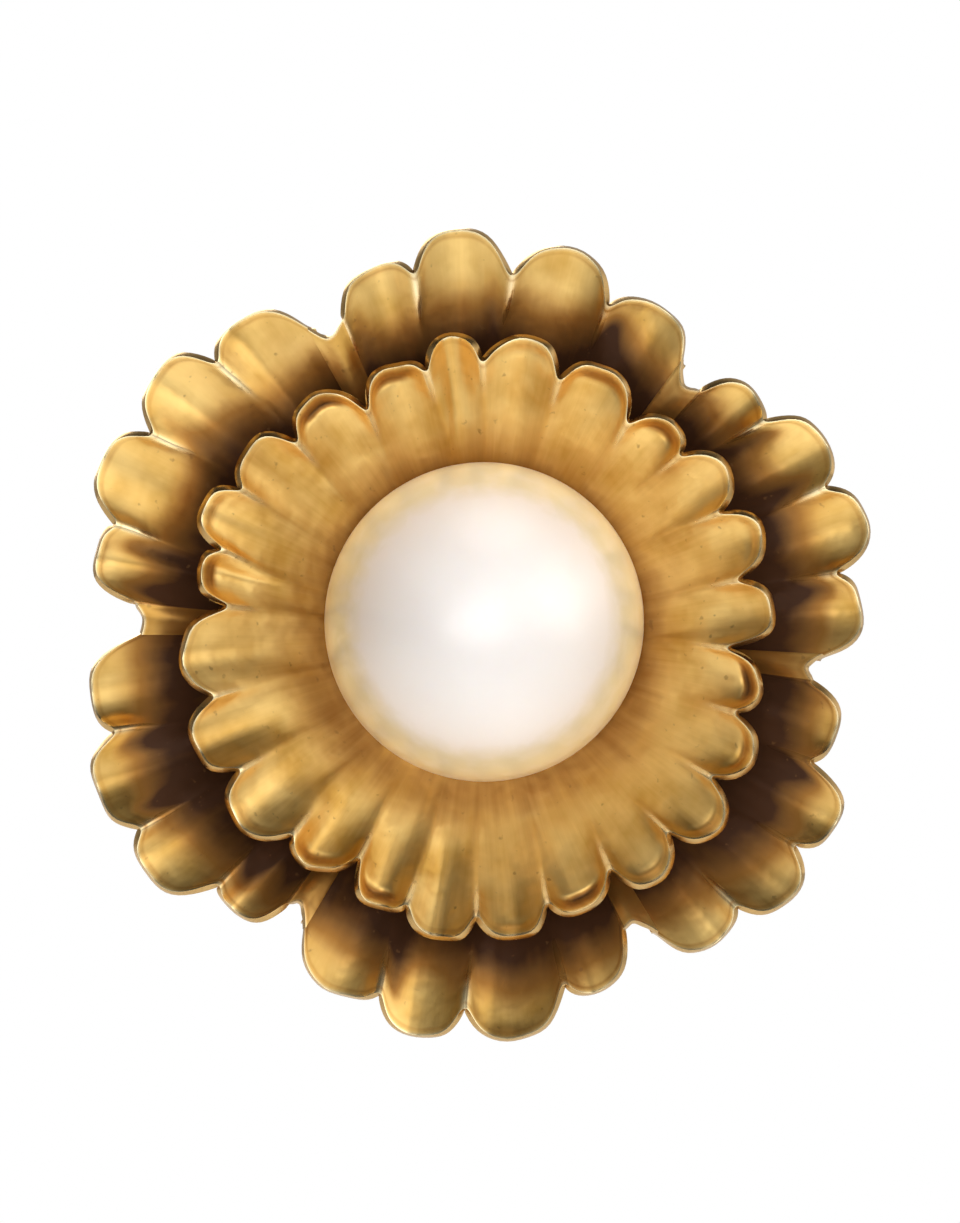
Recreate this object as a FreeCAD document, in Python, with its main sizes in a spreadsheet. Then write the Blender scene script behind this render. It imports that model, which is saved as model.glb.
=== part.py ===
import FreeCAD, Part
import math
import os
import Sketcher
from FreeCAD import Placement, Rotation, Vector

# A flower brooch: an inner fluted cup and six outer petals round a large pearl,
# clamped on one centre post, with a hinged pin and a rolling safety catch on the back.
#
# Millimetres. The pieces of the stack are drawn lying face up on the bench: x to the right,
# y towards the top of the flower, z towards the viewer, and z = 0 on the back of the back plate.
# Each is then turned upright, so that the worn brooch has +Z up and its face towards -Y.

doc = FreeCAD.newDocument("brooch")
sheet = doc.addObject("Spreadsheet::Sheet", "sizes")

SIZES = [
    # the pearl
    ("pearl_radius", 12.5),
    ("pearl_back_depth", 2.0),
    ("pad_thickness", 0.6),
    ("pad_radius", 11.4),
    ("pad_taper", 0.3),
    ("glue_gap", 0.05),
    # the centre post and what it holds
    ("post_radius", 1.5),
    ("post_gap", 0.05),
    ("peg_radius", 1.1),
    ("peg_length", 7.0),
    ("flange_radius", 3.2),
    ("flange_height", 0.5),
    ("collar_radius", 5.0),
    ("collar_height", 2.5),
    ("nut_flats", 5.5),
    ("nut_height", 1.6),
    ("post_end", 0.6),
    ("plate_radius", 19.0),
    ("plate_thickness", 0.9),
    ("plate_edge_chamfer", 0.25),
    # the flower's middle lies this far from the post, as its outline was cut
    ("flower_shift_x", -0.25),
    ("flower_shift_y", -1.1),
    # the inner cup
    ("cup_sheet", 0.6),
    ("cup_floor_radius", 13.0),
    ("cup_tool_radius", 5.1),
    ("cup_flare", 0.57),
    ("cup_reach", 24.1),
    # the outer petals
    ("petal_sheet", 0.6),
    ("petal_root_radius", 9.0),
    ("petal_tool_radius", 5.8),
    ("petal_flare", 0.28),
    ("petal_tilt", 2.8),
    ("petal_reach", 33.1),
    ("lap_inner_radius", 20.5),
    # the pin and its hinge
    ("pin_line", 7.0),
    ("pin_height", 3.4),
    ("hinge_reach", 14.0),
    ("wire_radius", 0.45),
    ("neck_radius", 0.62),
    ("neck_length", 2.6),
    ("point_length", 5.5),
    ("point_overhang", 2.9),
    ("point_tip_radius", 0.06),
    ("eye_radius", 1.2),
    ("eye_width", 1.4),
    ("rivet_radius", 0.4),
    ("rivet_head_radius", 0.75),
    ("rivet_head_height", 0.35),
    ("hinge_clearance", 0.05),
    ("ear_thickness", 0.7),
    ("ear_radius", 1.35),
    ("foot_thickness", 0.6),
    ("hinge_foot_length", 4.6),
    ("hinge_foot_width", 4.4),
    # the safety catch
    ("catch_reach", 13.6),
    ("catch_length", 2.6),
    ("housing_radius", 2.2),
    ("housing_bore", 1.5),
    ("housing_mouth", 1.9),
    ("neck_width", 2.4),
    ("catch_foot_length", 4.4),
    ("catch_foot_width", 5.2),
    ("rotor_clearance", 0.06),
    ("rotor_bore", 0.8),
    ("rotor_lip", 0.3),
    ("rotor_lip_width", 0.4),
    ("rotor_flange_radius", 2.1),
    ("rotor_flange_width", 0.8),
    ("tab_reach", 3.6),
    ("tab_width", 1.3),
    ("tab_angle", 50.0),
]

for row, (alias, number) in enumerate(SIZES, start=1):
    sheet.set("A%d" % row, alias)
    sheet.set("B%d" % row, str(number))
    sheet.setAlias("B%d" % row, alias)
doc.recompute()

# Heights of the stack above the plate's back, and radii that fit one another
HOLE = "sizes.post_radius + sizes.post_gap"
PETAL_TOP = "sizes.plate_thickness + sizes.petal_sheet"
COLLAR_TOP = PETAL_TOP + " + sizes.collar_height"
CUP_TOP = COLLAR_TOP + " + sizes.cup_sheet"
PEARL_BASE = CUP_TOP + " + sizes.pad_thickness"
PEARL_MIDDLE = PEARL_BASE + " + sizes.pearl_back_depth"
POST_FOOT = "-(sizes.nut_height + sizes.post_end)"
WIRE_REACH = "(sizes.hinge_reach + sizes.catch_reach + sizes.point_overhang)"

UPRIGHT = Rotation(Vector(1, 0, 0), 90)
STANDING = Rotation()
AXIS_ALONG_X = Rotation(Vector(0, 1, 0), 90)
ORIGIN_POINT = (-1, 1)
SAME = 1e-6


def size(text):
    """The number that an expression of the sheet gives now."""
    return float(sheet.evalExpression(text))


def place(obj, label, rotation, x="0", y="0", z="0"):
    """Name a finished sub-part and put it where the worn brooch has it."""
    obj.Label = label
    obj.Placement = Placement(Vector(), rotation)
    for axis, text in (("x", x), ("y", y), ("z", z)):
        obj.setExpression("Placement.Base." + axis, text)
    return obj


# Turned pieces and plates, drawn as sketches


def new_sketch(body, name, role):
    sketch = body.newObject("Sketcher::SketchObject", name)
    plane = [item for item in body.Origin.OriginFeatures if item.Role == role][0]
    sketch.AttachmentSupport = [(plane, "")]
    sketch.MapMode = "FlatFace"
    return sketch


def closed_outline(sketch, corners):
    """Straight lines through corners given as pairs of expressions."""
    points = [Vector(size(x), size(y), 0) for x, y in corners]
    count = len(points)
    for index in range(count):
        sketch.addGeometry(Part.LineSegment(points[index], points[(index + 1) % count]), False)
    for index in range(count):
        following = (index + 1) % count
        sketch.addConstraint(Sketcher.Constraint("Coincident", index, 2, following, 1))
    for index, (x, y) in enumerate(corners):
        pin_point(sketch, (index, 1), x, y)


def pin_point(sketch, point, x, y):
    """Hold a sketch point at two expressions from the sketch's origin."""
    for kind, text in (("DistanceX", x), ("DistanceY", y)):
        rule = Sketcher.Constraint(kind, ORIGIN_POINT[0], ORIGIN_POINT[1], point[0], point[1],
                                   size(text))
        number = sketch.addConstraint(rule)
        sketch.setExpression("Constraints[%d]" % number, text)


def circle(sketch, radius, x="0", y="0"):
    """A circle of a given radius about a point."""
    number = sketch.addGeometry(Part.Circle(Vector(size(x), size(y), 0), Vector(0, 0, 1),
                                            size(radius)), False)
    rule = sketch.addConstraint(Sketcher.Constraint("Radius", number, size(radius)))
    sketch.setExpression("Constraints[%d]" % rule, radius)
    pin_point(sketch, (number, 3), x, y)


def turned_body(name, corners):
    """A body turned about its own upright axis, from corners of (radius, height)."""
    body = doc.addObject("PartDesign::Body", name)
    sketch = new_sketch(body, name + "_profile", "XZ_Plane")
    closed_outline(sketch, corners)
    turning = body.newObject("PartDesign::Revolution", name + "_turning")
    turning.Profile = sketch
    turning.ReferenceAxis = (sketch, ["V_Axis"])
    turning.Angle = 360
    return body


def pad(body, name, sketch, length, midplane=False, reverse=False):
    feature = body.newObject("PartDesign::Pad", name)
    feature.Profile = sketch
    feature.setExpression("Length", length)
    feature.Midplane = midplane
    feature.Reversed = reverse
    return feature


def pocket_through(body, name, sketch, length):
    """Cut a sketch away to both sides of its plane."""
    feature = body.newObject("PartDesign::Pocket", name)
    feature.Profile = sketch
    feature.setExpression("Length", length)
    feature.Midplane = True
    return feature


def make_centre_post():
    flange_top = PEARL_BASE + " + sizes.flange_height"
    peg_top = flange_top + " + sizes.peg_length"
    corners = [
        ("0", POST_FOOT),
        ("sizes.post_radius", POST_FOOT),
        ("sizes.post_radius", PEARL_BASE),
        ("sizes.flange_radius", PEARL_BASE),
        ("sizes.flange_radius", flange_top),
        ("sizes.peg_radius", flange_top),
        ("sizes.peg_radius", peg_top),
        ("0", peg_top),
    ]
    place(turned_body("centre_post_body", corners), "centre_post", UPRIGHT)


def make_spacer_collar():
    corners = [
        (HOLE, PETAL_TOP),
        ("sizes.collar_radius", PETAL_TOP),
        ("sizes.collar_radius", COLLAR_TOP),
        (HOLE, COLLAR_TOP),
    ]
    place(turned_body("spacer_collar_body", corners), "spacer_collar", UPRIGHT)


def make_pearl_pad():
    """The flat pad under the pearl. Its edge tapers in, so the pearl hides it."""
    corners = [
        (HOLE, CUP_TOP),
        ("sizes.pad_radius", CUP_TOP),
        ("sizes.pad_radius - sizes.pad_taper", PEARL_BASE),
        (HOLE, PEARL_BASE),
    ]
    place(turned_body("pearl_pad_body", corners), "pearl_pad", UPRIGHT)


def make_back_plate():
    body = doc.addObject("PartDesign::Body", "back_plate_body")
    sketch = new_sketch(body, "back_plate_outline", "XY_Plane")
    circle(sketch, "sizes.plate_radius")
    circle(sketch, HOLE)
    disc = pad(body, "back_plate_disc", sketch, "sizes.plate_thickness")
    doc.recompute()
    plate_radius = size("sizes.plate_radius")
    rim = ["Edge%d" % number for number, edge in enumerate(disc.Shape.Edges, start=1)
           if abs(getattr(edge.Curve, "Radius", 0) - plate_radius) < SAME
           and abs(edge.BoundBox.ZMax) < SAME]
    eased = body.newObject("PartDesign::Chamfer", "back_plate_eased_rim")
    eased.Base = (disc, rim)
    eased.setExpression("Size", "sizes.plate_edge_chamfer")
    place(body, "back_plate", UPRIGHT)


def make_hinge_base():
    """A foot with two ears. Drawn with the plate's back at z = 0 and the ears reaching down."""
    body = doc.addObject("PartDesign::Body", "hinge_base_body")
    half_length = "sizes.hinge_foot_length / 2"
    half_width = "sizes.hinge_foot_width / 2"
    foot = new_sketch(body, "hinge_foot_outline", "XY_Plane")
    closed_outline(foot, [
        ("-(%s)" % half_length, "-(%s)" % half_width),
        (half_length, "-(%s)" % half_width),
        (half_length, half_width),
        ("-(%s)" % half_length, half_width),
    ])
    pad(body, "hinge_foot", foot, "sizes.foot_thickness", reverse=True)
    gap = "sizes.eye_width + 2 * sizes.hinge_clearance"
    block = gap + " + 2 * sizes.ear_thickness"
    ears = new_sketch(body, "hinge_ear_outline", "XZ_Plane")
    closed_outline(ears, [
        ("-sizes.ear_radius", "0"),
        ("-sizes.ear_radius", "-sizes.pin_height"),
        ("sizes.ear_radius", "-sizes.pin_height"),
        ("sizes.ear_radius", "0"),
    ])
    pad(body, "hinge_ears", ears, block, midplane=True)
    crown = new_sketch(body, "hinge_crown_outline", "XZ_Plane")
    circle(crown, "sizes.ear_radius", "0", "-sizes.pin_height")
    pad(body, "hinge_crown", crown, block, midplane=True)
    fork = new_sketch(body, "hinge_fork_outline", "XZ_Plane")
    deep = "-(sizes.pin_height + 2 * sizes.ear_radius)"
    closed_outline(fork, [
        ("-2 * sizes.ear_radius", "-sizes.foot_thickness"),
        ("-2 * sizes.ear_radius", deep),
        ("2 * sizes.ear_radius", deep),
        ("2 * sizes.ear_radius", "-sizes.foot_thickness"),
    ])
    pocket_through(body, "hinge_fork", fork, gap)
    bore = new_sketch(body, "hinge_bore_outline", "XZ_Plane")
    circle(bore, "sizes.rivet_radius", "0", "-sizes.pin_height")
    pocket_through(body, "hinge_bore", bore, block + " + 1")
    place(body, "hinge_base", UPRIGHT, "-sizes.hinge_reach", "0", "sizes.pin_line")


def make_hinge_rivet():
    grip = "(sizes.eye_width / 2 + sizes.hinge_clearance + sizes.ear_thickness)"
    head = "(" + grip + " + sizes.rivet_head_height)"
    crown = "0.6 * sizes.rivet_head_radius"
    corners = [
        ("0", "-" + head),
        (crown, "-" + head),
        ("sizes.rivet_head_radius", "-" + grip),
        ("sizes.rivet_radius", "-" + grip),
        ("sizes.rivet_radius", grip),
        ("sizes.rivet_head_radius", grip),
        (crown, head),
        ("0", head),
    ]
    place(turned_body("hinge_rivet_body", corners), "hinge_rivet", STANDING,
          "-sizes.hinge_reach", "sizes.pin_height", "sizes.pin_line")


# Pieces built up from primitives


def primitive(kind, name, base=(), rotation=None, **numbers):
    """A Part primitive whose sizes, and whose place, are expressions."""
    obj = doc.addObject("Part::" + kind, name)
    if rotation is not None:
        obj.Placement = Placement(Vector(), rotation)
    for prop, text in numbers.items():
        obj.setExpression(prop, text)
    for axis, text in zip("xyz", base):
        obj.setExpression("Placement.Base." + axis, text)
    return obj


def cut(name, base, tool):
    obj = doc.addObject("Part::Cut", name)
    obj.Base = base
    obj.Tool = tool
    return obj


def fuse(name, shapes):
    obj = doc.addObject("Part::MultiFuse", name)
    obj.Shapes = shapes
    obj.Refine = True
    return obj


def make_pearl():
    """A ball cut flat behind its middle, drilled for the peg and sunk for the post's flange."""
    ball = primitive("Sphere", "pearl_ball", ("0", "0", PEARL_MIDDLE), Radius="sizes.pearl_radius",
                     Angle1="-asin(sizes.pearl_back_depth / sizes.pearl_radius)", Angle2="90",
                     Angle3="360")
    base = ("0", "0", PEARL_BASE)
    bore = primitive("Cylinder", "pearl_bore", base, Radius="sizes.peg_radius + sizes.glue_gap",
                     Height="sizes.flange_height + sizes.peg_length + 2 * sizes.glue_gap")
    sink = primitive("Cylinder", "pearl_flange_sink", base,
                     Radius="sizes.flange_radius + sizes.glue_gap",
                     Height="sizes.flange_height + sizes.glue_gap")
    place(cut("pearl_drilled", ball, fuse("pearl_drilling", [bore, sink])), "pearl", UPRIGHT)


def make_post_nut():
    """A hexagon nut under the plate, with the corners of its free face turned off."""
    base = ("0", "0", "-sizes.nut_height")
    hexagon = primitive("Prism", "nut_hexagon", base, Height="sizes.nut_height",
                        Circumradius="sizes.nut_flats / 2 / cos(30)")
    hexagon.Polygon = 6
    turning = primitive("Cone", "nut_turning", base, Radius1="sizes.nut_flats / 2",
                        Radius2="sizes.nut_flats / 2 + sizes.nut_height / tan(30)",
                        Height="sizes.nut_height")
    turned = doc.addObject("Part::MultiCommon", "nut_turned")
    turned.Shapes = [hexagon, turning]
    bore = primitive("Cylinder", "nut_bore", base, Radius=HOLE, Height="sizes.nut_height")
    place(cut("nut_bored", turned, bore), "post_nut", UPRIGHT)


def make_pin_stem():
    """The wire lies along +X from the eye, whose bore stands upright, to past the catch."""
    point_start = "(%s - sizes.point_length)" % WIRE_REACH
    eye = primitive("Cylinder", "stem_eye", ("0", "0", "-sizes.eye_width / 2"),
                    Radius="sizes.eye_radius", Height="sizes.eye_width")
    neck = primitive("Cone", "stem_neck", ("0", "0", "0"), AXIS_ALONG_X,
                     Radius1="sizes.neck_radius", Radius2="sizes.wire_radius",
                     Height="sizes.neck_length")
    wire = primitive("Cylinder", "stem_wire", ("0", "0", "0"), AXIS_ALONG_X,
                     Radius="sizes.wire_radius", Height=point_start)
    point = primitive("Cone", "stem_point", (point_start, "0", "0"), AXIS_ALONG_X,
                      Radius1="sizes.wire_radius", Radius2="sizes.point_tip_radius",
                      Height="sizes.point_length")
    bore = primitive("Cylinder", "stem_bore", ("0", "0", "-sizes.eye_width"),
                     Radius="sizes.rivet_radius + sizes.hinge_clearance",
                     Height="2 * sizes.eye_width")
    place(cut("stem_bored", fuse("stem_solid", [eye, neck, wire, point]), bore), "pin_stem",
          STANDING, "-sizes.hinge_reach", "sizes.pin_height", "sizes.pin_line")


def along_catch(name, radius, start, length):
    """A round bar along the pin's line, in the catch."""
    return primitive("Cylinder", name, (start, "0", "0"), AXIS_ALONG_X, Radius=radius,
                     Height=length)


def mouth_cut(name, width, start, length, depth):
    """The slot that lets the pin out, straight away from the plate."""
    return primitive("Box", name, (start, "0", "-(%s) / 2" % width), Length=length, Width=depth,
                     Height=width)


def make_catch_base():
    half = "sizes.catch_length / 2"
    start = "-" + half
    housing = along_catch("catch_housing", "sizes.housing_radius", start, "sizes.catch_length")
    neck = primitive("Box", "catch_neck", (start, "-sizes.pin_height", "-sizes.neck_width / 2"),
                     Length="sizes.catch_length", Width="sizes.pin_height",
                     Height="sizes.neck_width")
    foot = primitive("Box", "catch_foot",
                     ("-sizes.catch_foot_length / 2", "-sizes.pin_height",
                      "-sizes.catch_foot_width / 2"),
                     Length="sizes.catch_foot_length", Width="sizes.foot_thickness",
                     Height="sizes.catch_foot_width")
    bore = along_catch("catch_bore", "sizes.housing_bore", start, "sizes.catch_length")
    mouth = mouth_cut("catch_mouth", "sizes.housing_mouth", start, "sizes.catch_length",
                      "2 * sizes.housing_radius")
    place(cut("catch_opened", fuse("catch_solid", [housing, neck, foot]),
              fuse("catch_opening", [bore, mouth])), "catch_base", STANDING,
          "sizes.catch_reach", "sizes.pin_height", "sizes.pin_line")


def make_catch_rotor():
    half = "(sizes.catch_length / 2 + sizes.rotor_clearance)"
    sleeve_radius = "sizes.housing_bore - sizes.rotor_clearance"
    lip_start = "-(%s + sizes.rotor_lip_width)" % half
    whole = "2 * %s + sizes.rotor_lip_width + sizes.rotor_flange_width" % half
    sleeve = along_catch("rotor_sleeve", sleeve_radius, lip_start, whole)
    lip = along_catch("rotor_lip_ring", "sizes.housing_bore + sizes.rotor_lip", lip_start,
                      "sizes.rotor_lip_width")
    flange = along_catch("rotor_flange", "sizes.rotor_flange_radius", half,
                         "sizes.rotor_flange_width")
    # The tab leans from straight out, which is +Y here, towards +Z
    lean = Rotation(Vector(1, 0, 0), size("sizes.tab_angle"))
    out = lean.multVec(Vector(0, 1, 0))
    tab = primitive("Box", "rotor_tab", (), lean, Length="sizes.rotor_flange_width",
                    Width="sizes.tab_reach - sizes.tab_width / 2 - sizes.housing_bore",
                    Height="sizes.tab_width")
    tab.setExpression("Placement.Base.x", half)
    side = "sizes.tab_width / 2"
    tab.setExpression("Placement.Base.y",
                      "sizes.housing_bore * cos(sizes.tab_angle) + %s * sin(sizes.tab_angle)" % side)
    tab.setExpression("Placement.Base.z",
                      "sizes.housing_bore * sin(sizes.tab_angle) - %s * cos(sizes.tab_angle)" % side)
    reach = "(sizes.tab_reach - sizes.tab_width / 2)"
    thumb = primitive("Cylinder", "rotor_thumb",
                      (half, reach + " * cos(sizes.tab_angle)", reach + " * sin(sizes.tab_angle)"),
                      AXIS_ALONG_X, Radius="sizes.tab_width / 2",
                      Height="sizes.rotor_flange_width")
    bore = along_catch("rotor_bore", "sizes.rotor_bore", lip_start, whole)
    mouth = mouth_cut("rotor_mouth", "2 * sizes.rotor_bore", lip_start, whole,
                      "2 * sizes.housing_radius")
    place(cut("rotor_opened", fuse("rotor_solid", [sleeve, lip, flange, tab, thumb]),
              fuse("rotor_opening", [bore, mouth])), "catch_rotor", STANDING,
          "sizes.catch_reach", "sizes.pin_height", "sizes.pin_line")


# The pressed sheets: the inner cup and the outer petals
#
# A sheet is pressed from a flat blank with a scalloped edge. A round tool of one radius
# presses each scoop, along a straight line that rises outwards, so a scoop is part of a pipe.
# Two neighbouring pipes meet in a narrow ridge halfway between their directions. The ridges
# run in from the notches and fade towards the middle, where the pipes nearly share one line.
# The sheets are drawn round the flower's middle, and the post's hole is cut beside it.

# Outline of the outer petals, anticlockwise from the viewer's right, as (angle, radius): each
# tip, and between two tips their notch
PETAL_LOBES = [
    [(62.5, 29.7), (69.0, 28.0), (76.0, 31.4), (85.0, 28.8), (93.5, 32.1), (100.5, 29.2),
     (106.0, 30.5)],
    [(128.0, 31.5), (134.0, 30.1), (141.0, 33.1), (148.5, 30.5), (155.0, 33.0), (162.0, 30.2),
     (167.6, 31.1)],
    [(189.0, 31.2), (194.7, 29.9), (202.0, 32.8), (209.2, 30.8), (215.5, 32.4), (222.8, 28.7),
     (227.4, 29.2)],
    [(247.8, 30.5), (254.0, 29.3), (260.5, 32.1), (267.5, 29.3), (274.2, 32.0), (282.8, 28.4),
     (287.9, 29.5)],
    [(307.8, 30.6), (313.3, 29.4), (319.5, 32.1), (326.2, 29.7), (332.0, 31.9), (339.2, 27.9),
     (345.0, 29.1)],
    [(364.0, 30.2), (370.0, 28.6), (376.5, 31.9), (383.3, 29.5), (389.3, 31.4), (396.6, 28.1),
     (401.6, 28.9)],
]

# Where two petals meet, the first one's edge is a narrow flange that lies over the next petal.
# Its crease, its lowest point between the petals, and its free edge, as (angle, radius)
LAPS = [
    [(48.4, 26.0), (50.8, 25.5), (54.0, 27.0)],
    [(113.8, 27.3), (117.0, 26.5), (119.5, 27.9)],
    [(174.7, 27.4), (177.5, 26.7), (179.8, 26.9)],
    [(234.3, 26.1), (235.7, 25.5), (239.0, 27.0)],
    [(296.3, 25.8), (297.8, 25.6), (301.0, 27.3)],
    [(352.5, 26.4), (354.5, 25.9), (357.0, 27.1)],
]

# Outline of the inner cup: each tip, and the notch that follows it
CUP_LOBES = [
    (5.0, 23.0), (12.7, 20.8), (20.5, 23.4), (27.5, 21.2), (34.2, 23.3), (41.6, 21.1),
    (47.9, 22.5), (55.9, 20.3), (64.8, 23.2), (72.9, 21.2), (81.2, 23.6), (89.3, 21.6),
    (95.8, 23.6), (102.2, 21.3), (109.0, 22.4), (117.0, 19.8), (125.2, 23.0), (133.4, 21.1),
    (141.4, 23.5), (148.5, 22.1), (155.3, 24.0), (160.9, 21.6), (166.0, 22.7), (174.0, 20.0),
    (183.8, 23.5), (192.7, 21.5), (201.2, 24.1), (209.3, 21.6), (217.2, 24.1), (225.6, 21.5),
    (232.0, 22.5), (240.4, 20.0), (248.2, 22.7), (254.7, 21.9), (261.3, 23.9), (268.9, 22.0),
    (276.3, 23.8), (283.9, 21.7), (291.2, 22.9), (298.8, 21.0), (306.2, 23.6), (313.3, 21.3),
    (320.3, 24.0), (327.9, 21.3), (335.2, 23.4), (342.6, 20.9), (349.5, 22.3), (357.2, 19.5),
]

FULL_TURN = 360.0

# An edge runs from a notch over its shoulder to the tip: how far along, and how far risen
SHOULDER_SHARE = 0.42
SHOULDER_RISE = 0.69

# Pieces that are joined into one sheet run this far into each other
JOIN = 0.3


def polar(angle, radius, height=0.0):
    turn = math.radians(angle)
    return Vector(radius * math.cos(turn), radius * math.sin(turn), height)


def shoulder(notch, tip):
    """The point of a lobe's edge between its notch and its tip."""
    return (notch[0] + (tip[0] - notch[0]) * SHOULDER_SHARE,
            notch[1] + (tip[1] - notch[1]) * SHOULDER_RISE)


def blank(edges, low, high):
    """A flat outline drawn out upwards, from one height to another."""
    face = Part.Face(Part.Wire(edges))
    face.translate(Vector(0, 0, low))
    return face.extrude(Vector(0, 0, high - low))


def lobe_blank(start, tip, end, inner_radius, low, high):
    """One lobe: two straight sides from the middle, and the edge over its tip."""
    inner_start = polar(start[0], inner_radius)
    inner_end = polar(end[0], inner_radius)
    crown = polar(*tip)
    return blank([
        Part.makeLine(inner_start, polar(*start)),
        Part.Arc(polar(*start), polar(*shoulder(start, tip)), crown).toShape(),
        Part.Arc(crown, polar(*shoulder(end, tip)), polar(*end)).toShape(),
        Part.makeLine(polar(*end), inner_end),
        Part.makeLine(inner_end, inner_start),
    ], low, high)


class Press:
    """The pipe that the round tool makes in one layer, and how steeply it rises."""

    def __init__(self, tool_radius, thickness, slope, floor_radius, floor_top, reach):
        self.tool_radius = tool_radius
        self.thickness = thickness
        self.slope = slope
        self.floor_radius = floor_radius
        self.floor_top = floor_top
        self.lean = math.atan(slope)
        length = reach / math.cos(self.lean)
        outer = tool_radius + thickness
        along = Vector(1, 0, 0)
        lower_half = Part.makeBox(length, 2 * outer, outer, Vector(0, -outer, -outer))
        pipe = lower_half.common(Part.makeCylinder(outer, length, Vector(), along))
        self.half_pipe = pipe.cut(Part.makeCylinder(tool_radius, length, Vector(), along))

    def groove_height(self, radius):
        """Height of the deepest line of a scoop, on the front face."""
        return self.floor_top + (radius - self.floor_radius) * self.slope

    def ridge_height(self, radius, half_angle):
        """Height of the front face where a scoop ends, half_angle from its middle."""
        half_width = radius * math.sin(math.radians(half_angle))
        rise = self.tool_radius - math.sqrt(self.tool_radius ** 2 - half_width ** 2)
        return self.groove_height(radius) + rise / math.cos(self.lean)

    def scoop(self, angle):
        """The half pipe laid along its rising line, in one lobe's direction."""
        piece = self.half_pipe.copy()
        height = self.groove_height(0.0) + self.tool_radius / math.cos(self.lean)
        turn = Rotation(Vector(0, 0, 1), angle)
        rise = Rotation(Vector(0, 1, 0), -math.degrees(self.lean))
        piece.Placement = Placement(Vector(0, 0, height), turn * rise)
        return piece

    def lobes(self, notches, tips):
        """A pressed scoop for each tip, between the notches on its two sides."""
        middles = [(start[0] + end[0]) / 2 for start, end in zip(notches[:-1], notches[1:])]
        ends = [notches[0][0]] + [(a + b) / 2 for a, b in zip(middles[:-1], middles[1:])]
        ends.append(notches[-1][0])
        low = self.floor_top - self.thickness
        high = self.ridge_height(max(tip[1] for tip in tips), 0) + self.tool_radius
        pieces = []
        for number, tip in enumerate(tips):
            start = (ends[number], notches[number][1])
            end = (ends[number + 1], notches[number + 1][1])
            outline = lobe_blank(start, tip, end, self.floor_radius - JOIN, low, high)
            pieces.append(self.scoop(middles[number]).common(outline))
        return pieces


def joined(pieces):
    """Pieces that touch or run into each other, as one solid."""
    whole = pieces[0].multiFuse(pieces[1:]).removeSplitter()
    if len(whole.Solids) != 1:
        raise RuntimeError("a sheet fell into %d solids" % len(whole.Solids))
    return whole.Solids[0]


def tip_radius(outline):
    """Radius of an outline's longest tip, as it was drawn."""
    return max(radius for angle, radius in outline)


def redrawn(outline, share):
    """An outline with its radii drawn larger or smaller about the flower's middle."""
    return [(angle, radius * share) for angle, radius in outline]


def flower_shift():
    return Vector(size("sizes.flower_shift_x"), size("sizes.flower_shift_y"), 0)


def post_hole(low, high):
    """The post's hole, as it lies from the flower's middle."""
    hole = Part.makeCylinder(size(HOLE), high - low + 2 * JOIN)
    hole.translate(Vector(0, 0, low - JOIN) - flower_shift())
    return hole


def sheet_feature(name, solid):
    feature = doc.addObject("Part::Feature", name + "_sheet")
    feature.Shape = solid
    place(feature, name, UPRIGHT, "sizes.flower_shift_x", "0", "sizes.flower_shift_y")


def lap_flange(press, lobe_middle, lap, inner_radius, top):
    """The flange of a petal: a flat strip that rises like the ridge at its crease."""
    crease, valley, free = lap
    half_angle = crease[0] - lobe_middle
    low = press.ridge_height(inner_radius, half_angle)
    slope = (press.ridge_height(crease[1], half_angle) - low) / (crease[1] - inner_radius)
    lean = math.atan(slope)
    length = top / math.cos(lean)
    strip = Part.makeBox(length, length, press.thickness, Vector(0, -length / 2, -press.thickness))
    rise = Rotation(Vector(0, 1, 0), -math.degrees(lean))
    strip.Placement = Placement(Vector(0, 0, low - inner_radius * slope),
                                Rotation(Vector(0, 0, 1), valley[0]) * rise)
    inner_crease = polar(crease[0] - LAP_JOIN_ANGLE, inner_radius)
    inner_free = polar(free[0], inner_radius)
    crease_corner = polar(crease[0] - LAP_JOIN_ANGLE, crease[1])
    edges = [
        Part.makeLine(inner_crease, crease_corner),
        Part.makeLine(crease_corner, polar(*valley)),
        Part.makeLine(polar(*valley), polar(*free)),
        Part.makeLine(polar(*free), inner_free),
        Part.makeLine(inner_free, inner_crease),
    ]
    return strip.common(blank(edges, press.floor_top, 2 * top))


# A blank is pressed larger than its outline, and cut afterwards
BLANK_OVERSIZE = 1.1
# A flange starts a little inside its crease, and lies over the next petal by the underlap
LAP_JOIN_ANGLE = 0.6
UNDERLAP_ANGLE = 1.2


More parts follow.
